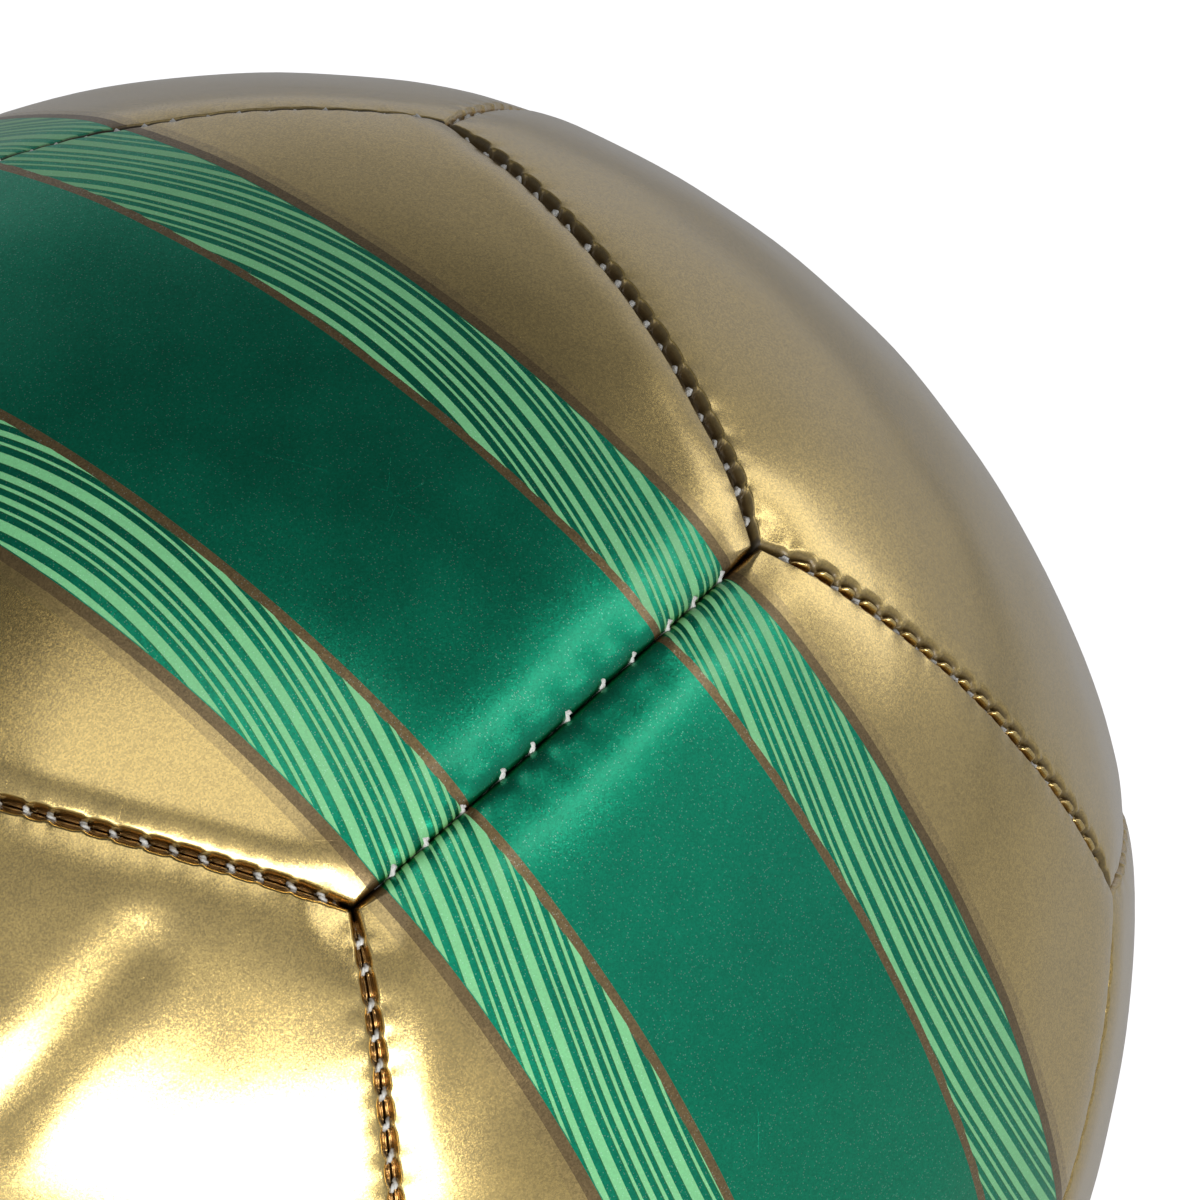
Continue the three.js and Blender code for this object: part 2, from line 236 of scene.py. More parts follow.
def turned(angles, first, second):
    """Unit vectors at angles from the first of two directions towards the second."""
    angles = angles[..., None]
    return np.cos(angles) * first + np.sin(angles) * second


# The panels of a ball are the faces of a dodecahedron, laid with the belt about the ball's own X axis.

GOLDEN = (1 + math.sqrt(5)) / 2
AXES = unit(np.array([
    spot
    for one in (1, -1)
    for far in (GOLDEN, -GOLDEN)
    for spot in ((0, one, far), (far, 0, one), (one, far, 0))
]))
NEIGHBOUR_COSINE = 1 / math.sqrt(5)


def neighbours(first, second):
    return abs(AXES[first] @ AXES[second] - NEIGHBOUR_COSINE) < CLOSE


PANELS = range(len(AXES))
CORNERS = unit(np.array([
    AXES[list(three)].sum(axis=0)
    for three in combinations(PANELS, 3)
    if all(neighbours(*pair) for pair in combinations(three, 2))
]))
EDGE_ANGLE = math.acos(NEIGHBOUR_COSINE) / 2
CORNER_ANGLE = math.acos(np.max(CORNERS @ AXES[0]))
SEAM_ANGLE = 2 * math.acos(math.cos(CORNER_ANGLE) / math.cos(EDGE_ANGLE))

# A panel is part of a sphere that is a little larger than the ball, so that its corners stand out.
CORNER_RADIUS = CROWN_RADIUS + CORNER_RISE
DOME_HEIGHT = CROWN_RADIUS - CORNER_RADIUS * math.cos(CORNER_ANGLE)
DOME_SHIFT = (CORNER_RADIUS**2 - CROWN_RADIUS**2) / (2 * DOME_HEIGHT)
DOME_RADIUS = CROWN_RADIUS + DOME_SHIFT


def dome_radius(cosine):
    """Radius of a panel's smooth face, by the cosine of the angle from its axis."""
    return np.sqrt(DOME_RADIUS**2 - DOME_SHIFT**2 * (1 - cosine**2)) - DOME_SHIFT * cosine


EDGE_RADIUS = float(dome_radius(math.cos(EDGE_ANGLE)))
SEAM_LENGTH = SEAM_ANGLE * EDGE_RADIUS


# The ball's own frame is found from the solids: two belt panels lie opposite the closing seam.

BELT_PANELS = ("cover_panel_10", "cover_panel_04")


def node_axis(name):
    """Direction from the ball's centre to the middle of a solid."""
    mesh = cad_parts[name].data
    points = np.empty(3 * len(mesh.vertices))
    mesh.vertices.foreach_get("co", points)
    return unit(points.reshape(-1, 3).mean(axis=0))


NODE_AXES = {name: node_axis(name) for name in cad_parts}
BELT_ONE, BELT_TWO = (NODE_AXES[name] for name in BELT_PANELS)
BALL_X = unit(np.cross(BELT_ONE, BELT_TWO))
BALL_Z = -unit(BELT_ONE + BELT_TWO)
BALL_TURN = np.column_stack([BALL_X, np.cross(BALL_Z, BALL_X), BALL_Z])

PLUG_LOW, PLUG_HIGH = (np.array(corner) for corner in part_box("valve_plug"))
VALVE_WAY = BALL_TURN.T @ unit(PLUG_LOW + PLUG_HIGH)
HOLED_PANEL = int(np.argmax(AXES @ VALVE_WAY))


def node_at(prefix, way):
    """Name of the solid of one kind that lies furthest one way in the ball's own frame."""
    names = [name for name in NODE_AXES if name.startswith(prefix)]
    return max(names, key=lambda name: NODE_AXES[name] @ (BALL_TURN @ way))


CLOSING_END = np.array([-math.sin(SEAM_ANGLE / 2), 0, math.cos(SEAM_ANGLE / 2)])
CLOSING_WAY = np.array([math.cos(SEAM_ANGLE / 2), 0, math.sin(SEAM_ANGLE / 2)])


def drawn_in(points):
    """Moves points along the ball's surface near the end of the closing seam that is drawn in."""
    radius = np.linalg.norm(points, axis=1, keepdims=True)
    away = np.linalg.norm(points / radius - CLOSING_END, axis=1, keepdims=True) * CROWN_RADIUS
    share = np.exp(-0.5 * (away / CLOSING_REACH) ** 2)
    return unit(points / radius + CLOSING_WAY * share * CLOSING_DRAW / CROWN_RADIUS) * radius


# Seams, by panel and neighbour where the two panels' edges differ

# Share of the slope of a panel down to a seam, on the ball's front
SHOULDERS = {
    (0, 1): 1.3,
    (1, 0): 0.35,
    (1, 6): 0.4,
    (6, 1): 0.4,
    (0, 2): 0,
    (2, 0): 0.6,
    (0, 4): 1.9,
    (4, 0): 0.45,
    (4, 6): 0.7,
    (6, 4): 1,
    (0, 6): 0,
    (6, 0): 0,
}
# Width and height of a panel's bead and width of its roll, where they are unusual
EDGES = {
    (1, 0): (0.36, 0.4, 0.45),
    (1, 6): (0.6, 1.45, 0.8),
}
# How dull a panel's edge is where it rolls into a seam, and how dark with painted shade
PAINTED_SHADE = {
    (0, 2): 1,
    (2, 0): 1,
    (1, 0): 0.85,
    (1, 6): 0.7,
}
# The seam whose edges stand apart, with no beads between them
GAPING_SEAM = (0, 2)


class Seam:
    """The sewn edge between two panels, whose sides are numbered 1 and -1."""

    def __init__(self, number, first, second):
        rng = np.random.default_rng([SEED, number])
        self.panels = {1: first, -1: second}
        self.middle = unit(AXES[first] + AXES[second])
        self.across = unit(AXES[first] - AXES[second])
        self.along = np.cross(self.middle, self.across)
        self.closing = self.middle[2] > 1 - CLOSE
        self.gaping = (first, second) == GAPING_SEAM
        self.pitch = CLOSING_PITCH if self.closing else STITCH_PITCH
        self.dent_depth = CLOSING_DENT_DEPTH if self.closing else DENT_DEPTH
        self.dent_reach = CLOSING_DENT_REACH if self.closing else DENT_REACH
        count = round(SEAM_LENGTH / self.pitch) - 1
        places = (np.arange(count) - (count - 1) / 2) * self.pitch
        self.stitches = places + rng.uniform(-STITCH_JITTER, STITCH_JITTER, count) * self.pitch
        self.pulls = {side: rng.uniform(PULL_LEAST, PULL_MOST, count) for side in (1, -1)}
        self.sinks = rng.uniform(-THREAD_SINK, THREAD_SINK, count)
        self.pucker = {side: rng.uniform(-1, 1, count) for side in (1, -1)}
        self.shoulders = {side: rng.uniform(SHOULDER_LEAST, 1) for side in (1, -1)}
        self.edges = {}
        self.painted_shade = {}
        for side, pair in ((1, (first, second)), (-1, (second, first))):
            self.shoulders[side] = SHOULDERS.get(pair, self.shoulders[side])
            roll_width = ROLL_WIDTH * mixed(ROLL_LEAST, 1, self.shoulders[side])
            self.edges[side] = EDGES.get(pair, (BEAD_WIDTH, BEAD_LIFT, roll_width))
            # share of painted shade on this side's rolled edge
            self.painted_shade[side] = PAINTED_SHADE.get(pair, 0)

    def measures(self, directions, side):
        """How far each direction lies from the seam, on one side, and along it."""
        gap = EDGE_RADIUS * np.arcsin(directions @ self.across * side)
        place = EDGE_RADIUS * np.arctan2(directions @ self.along, directions @ self.middle)
        return gap, place

    def inside(self, place):
        """1 along the seam and 0 at its ends."""
        return ease((SEAM_LENGTH / 2 - np.abs(place)) / CORNER_BLEND)

    def at_stitches(self, place, sizes, spread):
        """Sizes given by stitch, each spread a little way along the seam."""
        offsets = (place[:, None] - self.stitches[None, :]) / spread
        return np.exp(-offsets**2) @ sizes

    def roll(self, gap, place, side):
        """Depth to which a panel's edge is rolled over, and the lift of the bead that the stitches part."""
        share = self.inside(place)
        bead_width, bead_lift, roll_width = self.edges[side]
        depth = ROLL_DEPTH
        if self.closing:
            bead = BEAD_LEAST
            depth = mixed(depth, CLOSING_ROLL_DEPTH, share)
            roll_width = mixed(roll_width, CLOSING_ROLL_WIDTH, share)
        elif self.gaping:
            bead = mixed(BEAD_LEAST, GAPE, share)
            bead_lift = 0
            roll_width = mixed(roll_width, GAPING_ROLL_WIDTH, share)
        else:
            held = self.at_stitches(place, self.pulls[side], BEAD_SHARE * self.pitch)
            bead = BEAD_LEAST + bead_width * (1 - np.clip(held, 0, 1)) * share
        rolled = np.clip(1 - (gap - bead) / roll_width, 0, 1)
        across = np.clip(2 * gap / bead - 1, -1, 1)
        highest = bead_lift * bead / (BEAD_LEAST + bead_width)
        lift = highest * np.sqrt(1 - across**2) * (gap < bead)
        return depth * (1 - np.sqrt(1 - rolled**2)), lift


SEAMS = []
SEAMS_OF = {panel: [] for panel in PANELS}
for pair in combinations(PANELS, 2):
    if neighbours(*pair):
        seam = Seam(len(SEAMS), *pair)
        SEAMS.append(seam)
        SEAMS_OF[pair[0]].append((seam, 1))
        SEAMS_OF[pair[1]].append((seam, -1))


# Shapes of the cover

class Waves:
    """A gentle random swell in space, between -1 and 1 for most points."""

    def __init__(self, rng, count, shortest, longest):
        lengths = rng.uniform(shortest, longest, (count, 1))
        self.ways = unit(rng.normal(size=(count, 3))) * 2 * math.pi / lengths
        self.starts = rng.uniform(0, 2 * math.pi, count)

    def at(self, points):
        return np.sin(points @ self.ways.T + self.starts).sum(axis=1) * math.sqrt(2 / len(self.starts))


class Fold:
    """A soft trough in the cover, or a ridge where its depth is negative, between two directions."""

    def __init__(self, start, end, depth, width):
        self.start = unit(np.array(start)) * CROWN_RADIUS
        self.reach = unit(np.array(end)) * CROWN_RADIUS - self.start
        self.depth = depth
        self.width = width

    def at(self, directions):
        spots = directions * CROWN_RADIUS - self.start
        share = np.clip(spots @ self.reach / (self.reach @ self.reach), 0, 1)
        nearest = unit(self.start + share[:, None] * self.reach) * CROWN_RADIUS
        away = np.linalg.norm(spots + self.start - nearest, axis=1)
        return self.depth * np.exp(-((away / self.width) ** 2))


def random_fold(rng, panel):
    """A shallow fold or ridge that runs outwards from near a panel's middle."""
    axis = AXES[panel]
    way = unit(np.cross(axis, rng.normal(size=3)))
    near, far = np.sort(rng.uniform(FOLD_NEAREST, FOLD_FURTHEST, 2))
    width = rng.uniform(FOLD_LEAST_WIDTH, FOLD_MOST_WIDTH)
    lean = rng.uniform(-FOLD_LEAN, FOLD_LEAN) * np.cross(axis, way)
    depth = rng.uniform(-1, 1) * FOLD_DEPTH
    return Fold(axis + near * way, axis + far * way + lean, depth, width)


SWELL = Waves(np.random.default_rng([SEED, SWELL_STREAM]), SWELL_WAVES, SWELL_SHORTEST, SWELL_LONGEST)
FOLD_RNG = np.random.default_rng([SEED, FOLD_STREAM])
FOLDS = [
    Fold(*LONG_FOLD, LONG_FOLD_DEPTH, FOLD_LEAST_WIDTH),
    Fold(CLOSING_END, CLOSING_END * (-1, 1, 1), CLOSING_SINK, CLOSING_SINK_WIDTH),
]
FOLDS += [random_fold(FOLD_RNG, panel) for panel in PANELS for _ in range(FOLDS_A_PANEL)]


def sunk(directions):
    """How far the folds lower each direction."""
    return sum(fold.at(directions) for fold in FOLDS)


def plain_face(panel, directions, depth):
    """Points a given depth below a panel's smooth dome."""
    return directions * (dome_radius(directions @ AXES[panel]) - depth)[:, None]


def sewn_face(panel, directions):
    """Points of a panel's outer face, and for the vinyl's painted seam shade how far each is sunk in a seam
    and how dull and dark, from 0 to 1.
    """
    rolls = np.zeros(len(directions))
    lifts = np.zeros(len(directions))
    painted_shade = np.zeros(len(directions))
    depth = SWELL_DEPTH * SWELL.at(directions * CROWN_RADIUS) + sunk(directions)
    for seam, side in SEAMS_OF[panel]:
        gap, place = seam.measures(directions, side)
        rolled, lift = seam.roll(gap, place, side)
        rolls += rolled**ROLL_POWER
        lifts += lift
        # painted shade: the rolled edge goes dull and dark brown, in place of the shade deep in the groove
        painted_shade += seam.painted_shade[side] * np.clip(rolled / PAINTED_SHADE_DEPTH, 0, 1) * (lift <= BEAD_LIFT)
        depth += seam.shoulders[side] * SHOULDER_DEPTH * np.clip(1 - gap / SHOULDER_WIDTH, 0, 1) ** 2
        pull = seam.at_stitches(place, seam.pulls[side], DENT_SHARE * seam.pitch)
        depth += seam.dent_depth * pull * np.exp(-gap / seam.dent_reach)
        pucker = seam.at_stitches(place, seam.pucker[side], seam.pitch)
        depth += PUCKER_DEPTH * pucker * np.exp(-gap / PUCKER_REACH)
    sunken = rolls ** (1 / ROLL_POWER) - lifts
    # shares for the painted seam shade: how far sunk, and how dull and dark
    painted_shading = np.column_stack([sunken / ROLL_DEPTH, painted_shade, np.zeros(len(directions))])
    return plain_face(panel, directions, depth + sunken), np.clip(painted_shading, 0, 1)


# Meshes

BALL_PLACE = "ball_place"
# Mesh attribute with each point's painted seam shade
SEAM_PAINTED_SHADING = "seam_painted_shading"
UNSHADED = (0, 0, 0)
SUNKEN = (1, 0, 0)
PANEL_SIDES = 5


class Skin:
    """Points and faces of one mesh. A panel's ring is five equal runs of points."""

    def __init__(self):
        self.points = []
        self.painted_shading = []
        self.faces = []
        self.count = 0

    def ring(self, points, painted_shading=UNSHADED):
        """Adds points and returns their numbers."""
        ids = range(self.count, self.count + len(points))
        self.points.append(points)
        self.painted_shading.append(np.broadcast_to(painted_shading, points.shape))
        self.count += len(points)
        return ids

    def join(self, first, second):
        """Faces between two panel rings, which may differ in their number of points."""
        many, more = len(first) // PANEL_SIDES, len(second) // PANEL_SIDES
        for run in range(PANEL_SIDES):
            one, two = 0, 0
            while one < many or two < more:
                near = first[(run * many + one) % len(first)]
                far = second[(run * more + two) % len(second)]
                if one == many or (two < more and (two + 1) * many <= (one + 1) * more):
                    two += 1
                    after = second[(run * more + two) % len(second)]
                else:
                    one += 1
                    after = first[(run * many + one) % len(first)]
                self.faces.append((near, far, after))

    def around(self, first, second):
        """Faces between two rings with equally many points, or from a ring to a single point."""
        for spot in range(max(len(first), len(second))):
            after = spot + 1
            ends = [(first, spot), (first, after), (second, after), (second, spot)]
            corners = [ring[number % len(ring)] for ring, number in ends]
            self.faces.append(tuple(dict.fromkeys(corners)))

    def chain(self, ids, joiner, closed):
        """Faces between rings in turn, and from the last to the first where the mesh is closed there."""
        for first, second in zip(ids, ids[1:]):
            joiner(first, second)
        if closed:
            joiner(ids[-1], ids[0])

    def piece(self, name, material):
        """The mesh as an object in the shared frame, which rides on the ball."""
        mesh = bpy.data.meshes.new(name)
        placed = drawn_in(np.concatenate(self.points))
        points = placed @ BALL_TURN.T * MM
        mesh.from_pydata(points.tolist(), [], self.faces)
        mesh.shade_smooth()
        for attribute, values in ((BALL_PLACE, placed), (SEAM_PAINTED_SHADING, np.concatenate(self.painted_shading))):
            layer = mesh.attributes.new(attribute, "FLOAT_VECTOR", "POINT")
            layer.data.foreach_set("vector", values.ravel())
        mesh.materials.append(material)
        thing = bpy.data.objects.new(name, mesh)
        bpy.context.collection.objects.link(thing)
        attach(thing, "root")
        return thing


def panel_corners(panel):
    """Corners of a panel in turn, on the plane that touches the unit sphere at its axis."""
    axis = AXES[panel]
    corners = CORNERS[CORNERS @ axis > math.cos(CORNER_ANGLE) - CLOSE]
    east = unit(corners[0] - axis * (corners[0] @ axis))
    north = np.cross(axis, east)
    turns = np.arctan2(corners @ north, corners @ east)
    return corners[np.argsort(turns)] / math.cos(CORNER_ANGLE)


def flat_ring(panel, scale, steps):
    """Points of a pentagon round a panel's axis on that plane, or the axis itself without steps."""
    axis = AXES[panel]
    if not steps:
        return axis[None, :]
    corners = panel_corners(panel)
    after = np.roll(corners, -1, axis=0)
    shares = (np.arange(steps) / steps)[None, :, None]
    points = corners[:, None] + (after - corners)[:, None] * shares
    return axis + (points.reshape(-1, 3) - axis) * scale


def inset_scale(inset):
    """Size of the pentagon that lies a given way inside a panel's seams, against the whole panel's."""
    return math.tan(EDGE_ANGLE - inset / EDGE_RADIUS) / math.tan(EDGE_ANGLE)


def inset_ring(panel, inset, steps):
    return unit(flat_ring(panel, inset_scale(inset), steps))


def dome_rings(panel, inset):
    """Directions of rings from a panel's middle out to a given inset, one step a side more each time."""
    scale = inset_scale(inset)
    return [unit(flat_ring(panel, scale * step / GRID_STEPS, step)) for step in range(GRID_STEPS + 1)]


def hole_rings(panel, inset, radius):
    """Directions of rings that pass from a round hole in a panel's middle to its pentagon."""
    axis = AXES[panel]
    rim = flat_ring(panel, inset_scale(inset), GRID_STEPS)
    hole = axis + unit(rim - axis) * math.tan(radius / CROWN_RADIUS)
    return [unit(hole + (rim - hole) * step / HOLE_RINGS) for step in range(HOLE_RINGS + 1)]


def rim_insets():
    """Insets of the rings outside the grid: ever closer together, then even across the sewn bead."""
    outer = [GRID_INSET * RIM_RATIO**number for number in range(1, RIM_RINGS + 1)]
    return [*outer, *np.linspace(outer[-1], LIP_GAP, LIP_RINGS + 1)[1:]]


def rim_steps(inset):
    """Points a side: the finer, the nearer to the seam."""
    return GRID_STEPS * next(parts for least, parts in RIM_FINENESS if inset > least)


def inner_rings(panel, inset, depth):
    """Rings of a face inside the ball, from its middle or its hole out to a given inset."""
    if panel == HOLED_PANEL:
        rings = hole_rings(panel, inset, VALVE_HOLE_RADIUS)
    else:
        rings = dome_rings(panel, inset)
    return [plain_face(panel, ring, depth + sunk(ring)) for ring in rings]


def add_outer_face(skin, panel):
    """Rings of a cover panel from its middle, or the rounded rim of its hole, out to its lip."""
    ids = []
    if panel == HOLED_PANEL:
        outer = hole_rings(panel, GRID_INSET, VALVE_HOLE_RADIUS + HOLE_ROUND)
        edge = hole_rings(panel, GRID_INSET, VALVE_HOLE_RADIUS)[0]
        between = unit(edge + outer[0])
        ids.append(skin.ring(plain_face(panel, edge, HOLE_ROUND)))
        ids.append(skin.ring(plain_face(panel, between, HOLE_ROUND * HOLE_ROUND_MIDDLE)))
    else:
        outer = dome_rings(panel, GRID_INSET)
    outer += [inset_ring(panel, inset, rim_steps(inset)) for inset in rim_insets()]
    return ids + [skin.ring(*sewn_face(panel, directions)) for directions in outer]


def add_allowance(skin, panel):
    """Rings of the turned-in edge below a cover panel's lip, down to its free end and up its inside."""
    fine = rim_steps(LIP_GAP)
    inner = LIP_GAP + COVER_THICKNESS
    ids = []
    for inset, steps, depth in (
        (LIP_GAP, fine, ALLOWANCE_DEPTH),
        (inner, fine // 2, ALLOWANCE_DEPTH),
        (inner, fine // 4, 2 * COVER_THICKNESS),
        (INNER_EDGE, fine // 8, COVER_THICKNESS),
    ):
        directions = inset_ring(panel, inset, steps)
        lowered = 0 if depth == ALLOWANCE_DEPTH else sunk(directions)
        ids.append(skin.ring(plain_face(panel, directions, depth + lowered), SUNKEN))
    return ids


def build_panel(panel, material):
    """One cover panel: outer face, rolled rim, turned-in allowance and inner face."""
    skin = Skin()
    ids = add_outer_face(skin, panel) + add_allowance(skin, panel)
    for points in reversed(inner_rings(panel, GRID_INSET, COVER_THICKNESS)):
        ids.append(skin.ring(points))
    skin.chain(ids, skin.join, panel == HOLED_PANEL)
    node = node_at("cover_panel", AXES[panel])
    thing = skin.piece(node.replace("cover_panel", "panel"), material)
    thing.pass_index = panel
    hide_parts(node)
    return thing


def build_lining(panel, material):
    """The cloth behind one cover panel, inside its turned-in allowances."""
    skin = Skin()
    inset = INNER_EDGE + FIT
    depth = COVER_THICKNESS + FIT
    ids = [skin.ring(points) for points in inner_rings(panel, inset, depth)]
    under = inner_rings(panel, inset, depth + LINING_THICKNESS)
    ids += [skin.ring(points) for points in reversed(under)]
    skin.chain(ids, skin.join, panel == HOLED_PANEL)
    node = node_at("lining_panel", AXES[panel])
    thing = skin.piece(node.replace("lining_panel", "backing"), material)
    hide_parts(node)


def stitch_tops(seam):
    """Radius of the panels' faces at each stitch, where its thread lies on them."""
    out = turned(seam.stitches / EDGE_RADIUS, seam.middle, seam.along)
    seat = GAPE + GAPING_ROLL_WIDTH / 2 if seam.gaping else THREAD_SEAT
    seats = {1: CLOSING_SEAT} if seam.closing else {1: seat, -1: seat}
    faces = []
    for side, gap in seats.items():
        points, _ = sewn_face(seam.panels[side], unit(out + seam.across * side * gap / EDGE_RADIUS))
        faces.append(np.linalg.norm(points, axis=1))
    return np.mean(faces, axis=0) - seam.sinks


def thread_path(seam):
    """Middle line of a seam's thread, which winds round the sewn edges, one turn a stitch."""
    swing = CLOSING_SWING if seam.closing else THREAD_SWING
    seat = CLOSING_SEAT if seam.closing else 0
    dive = CLOSING_DIVE if seam.closing else THREAD_DIVE
    count = len(seam.stitches)
    turns = np.linspace(-0.5, count - 0.5, count * THREAD_STEPS + 1)
    ends = [seam.stitches[0] - seam.pitch, *seam.stitches, seam.stitches[-1] + seam.pitch]
    angle = np.interp(turns, np.arange(-1, count + 1), ends) / EDGE_RADIUS
    sideways = swing * np.sin(2 * math.pi * turns) + seat
    risen = (0.5 + 0.5 * np.cos(2 * math.pi * turns)) ** dive
    top = np.interp(turns, np.arange(count), stitch_tops(seam))
    bottom = dome_radius(math.cos(EDGE_ANGLE) * np.cos(angle)) - THREAD_BOTTOM
    radius = mixed(bottom, top, risen)
    return turned(angle, seam.middle, seam.along) * radius[:, None] + np.outer(sideways, seam.across)


def build_thread(seam, material):
    """One seam's thread, of two plies twisted round each other."""
    path = thread_path(seam)
    ahead = unit(np.gradient(path, axis=0))
    side = unit(np.cross(ahead, unit(path)))
    upright = np.cross(side, ahead)
    lengths = np.linalg.norm(np.diff(path, axis=0), axis=1)
    run = np.concatenate([[0], np.cumsum(lengths)])
    stout = CLOSING_STOUTNESS if seam.closing else 1
    rim = turned(full_turn(THREAD_SIDES)[None, :], side[:, None], upright[:, None])
    skin = Skin()
    for ply in (0, math.pi):
        twist = 2 * math.pi * run / PLY_TWIST_LENGTH + ply
        middle = path + stout * PLY_OFFSET * turned(twist, side, upright)
        ids = [skin.ring(points) for points in middle[:, None] + stout * PLY_RADIUS * rim]
        skin.chain(ids, skin.around, False)
        skin.faces.append(tuple(reversed(ids[0])))
        skin.faces.append(tuple(ids[-1]))
    node = node_at("seam_thread", seam.middle)
    thing = skin.piece(node.replace("seam_thread", "stitching"), material)
    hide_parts(node)


def rounded(profile):
    """A closed profile of radius and height with its corners rounded."""
    points = []
    for before, corner, after in zip(profile[-1:] + profile[:-1], profile, profile[1:] + profile[:1]):
        before, corner, after = (np.array(point, float) for point in (before, corner, after))
        start = corner + unit(before - corner) * RUBBER_ROUND
        end = corner + unit(after - corner) * RUBBER_ROUND
        for share in np.linspace(0, 1, ROUND_STEPS + 1):
            points.append((1 - share) ** 2 * start + 2 * share * (1 - share) * corner + share**2 * end)
    return points


def build_turned(name, node, profile, material):
    """A rubber piece turned about the valve's axis. A profile that starts on the axis also ends there."""
    skin = Skin()
    side = unit(np.cross(VALVE_WAY, AXES[0]))
    circle = turned(full_turn(TURN_SIDES), side, np.cross(VALVE_WAY, side))
    ids = []
    for radius, height in profile:
        rim = circle if radius else circle[:1]
        ids.append(skin.ring(rim * radius + VALVE_WAY * height))
    skin.chain(ids, skin.around, profile[0][0] > 0)
    thing = skin.piece(name, material)
    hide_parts(node)


def shell_profile(outside, inside, hole):
    """A thin sphere's profile, from its inner pole out round the rim of its hole to its outer pole."""
    inner_turns = np.linspace(math.pi, math.asin(hole / inside), SHELL_STEPS + 1)
    outer_turns = np.linspace(math.asin(hole / outside), math.pi, SHELL_STEPS + 1)
    points = []
    for radius, turns in ((inside, inner_turns), (outside, outer_turns)):
        for angle in turns:
            on_axis = angle == math.pi
            points.append((0 if on_axis else radius * math.sin(angle), radius * math.cos(angle)))
    return points


VALVE_PROFILE = [
    (BORE_RADIUS, VALVE_BOTTOM),
    (STEM_RADIUS, VALVE_BOTTOM),
    (STEM_RADIUS, BASE_BOTTOM),
    (BASE_RADIUS, BASE_BOTTOM),
    (BASE_RADIUS, BASE_TOP),
    (NECK_RADIUS, BASE_TOP),
    (NECK_RADIUS, VALVE_FACE),
    (SEAT_RADIUS, VALVE_FACE),
    (SEAT_RADIUS, VALVE_FACE - SEAT_DEPTH),
    (BORE_RADIUS, VALVE_FACE - SEAT_DEPTH),
]
PLUG_PROFILE = [
    (NEEDLE_RADIUS, VALVE_BOTTOM),
    (PLUG_RADIUS, VALVE_BOTTOM),
    (PLUG_RADIUS, VALVE_FACE - PLUG_HEAD_HEIGHT),
    (PLUG_HEAD_RADIUS, VALVE_FACE - PLUG_HEAD_HEIGHT),
    (PLUG_HEAD_RADIUS, VALVE_FACE),
    (DISH_RADIUS, VALVE_FACE),
    (NEEDLE_RADIUS, VALVE_FACE - DISH_DEPTH),
]


# Materials

WHITE = (1, 1, 1)
SHEEN = 0.2  # of thread and cloth
PLAIN = 2  # octaves of a noise
CLOUDY = 3
LEATHERY = 4


class Graph:
    """A material's node tree. A value given to a node is a constant or another node's output."""

    def __init__(self, name):
        self.material = bpy.data.materials.new(name)
        self.material.use_nodes = True
        self.tree = self.material.node_tree
        self.shader = self.tree.nodes["Principled BSDF"]

    def set(self, socket, value):
        if isinstance(value, bpy.types.NodeSocket):
            self.tree.links.new(value, socket)
        elif socket.type == "RGBA":
            socket.default_value = (*value, 1)
        else:
            socket.default_value = value

    def add(self, kind, inputs, **settings):
        node = self.tree.nodes.new(kind)
        for name, value in settings.items():
            setattr(node, name, value)
        for name, value in inputs.items():
            self.set(node.inputs[name], value)
        return node

    def finish(self, **inputs):
        """The material, with its shader's inputs set by name."""
        for name, value in inputs.items():
            self.set(self.shader.inputs[name.replace("_", " ")], value)
        return self.material

    def math(self, operation, *values):
        return self.add("ShaderNodeMath", dict(enumerate(values)), operation=operation).outputs[0]

    def vector(self, operation, *values):
        return self.add("ShaderNodeVectorMath", dict(enumerate(values)), operation=operation).outputs[0]

    def scaled(self, vector, factor):
        inputs = {0: vector, "Scale": factor}
        return self.add("ShaderNodeVectorMath", inputs, operation="SCALE").outputs[0]

    def mix(self, share, first, second):
        """A colour between two others."""
        inputs = {0: share, 6: first, 7: second}
        return self.add("ShaderNodeMix", inputs, data_type="RGBA").outputs[2]

    def blend(self, share, first, second):
        """A number between two others."""
        return self.add("ShaderNodeMix", {0: share, 2: first, 3: second}).outputs[0]

    def vary(self, value, amount, middle):
        """A value that lies about 0.5, spread by an amount about a middle instead."""
        return self.math("MULTIPLY_ADD", self.math("SUBTRACT", value, 0.5), amount, middle)

    def parts(self, vector):
        return self.add("ShaderNodeSeparateXYZ", {0: vector}).outputs

    def red(self, color):
        return self.add("ShaderNodeSeparateColor", {0: color}).outputs["Red"]

    def noise(self, place, size, detail=PLAIN, output="Fac"):
        inputs = {"Vector": place, "Scale": 1 / size, "Detail": detail}
        return self.add("ShaderNodeTexNoise", inputs).outputs[output]

    def cells(self, place, size, feature="F1"):
        inputs = {"Vector": place, "Scale": 1 / size}
        return self.add("ShaderNodeTexVoronoi", inputs, feature=feature).outputs

    def steps(self, value, stops):
        """A ramp with hard steps, from pairs of place and grey level or colour."""
        node = self.add("ShaderNodeValToRGB", {"Fac": value})
        node.color_ramp.interpolation = "CONSTANT"
        marks = node.color_ramp.elements
        while len(marks) < len(stops):
            marks.new(1)
        for mark, (place, level) in zip(marks, stops):
            mark.position = place
            mark.color = (*level, 1) if isinstance(level, tuple) else (level, level, level, 1)
        return node.outputs["Color"]

    def bump(self, height, depth, **inputs):
        inputs = {"Height": height, "Distance": depth * MM, **inputs}
        return self.add("ShaderNodeBump", inputs).outputs["Normal"]

    def attribute(self, name):
        return self.add("ShaderNodeAttribute", {}, attribute_name=name).outputs["Vector"]

    def place(self):
        """Where a point is, in millimetres in the shared frame."""
        return self.scaled(self.add("ShaderNodeTexCoord", {}).outputs["Object"], 1 / MM)


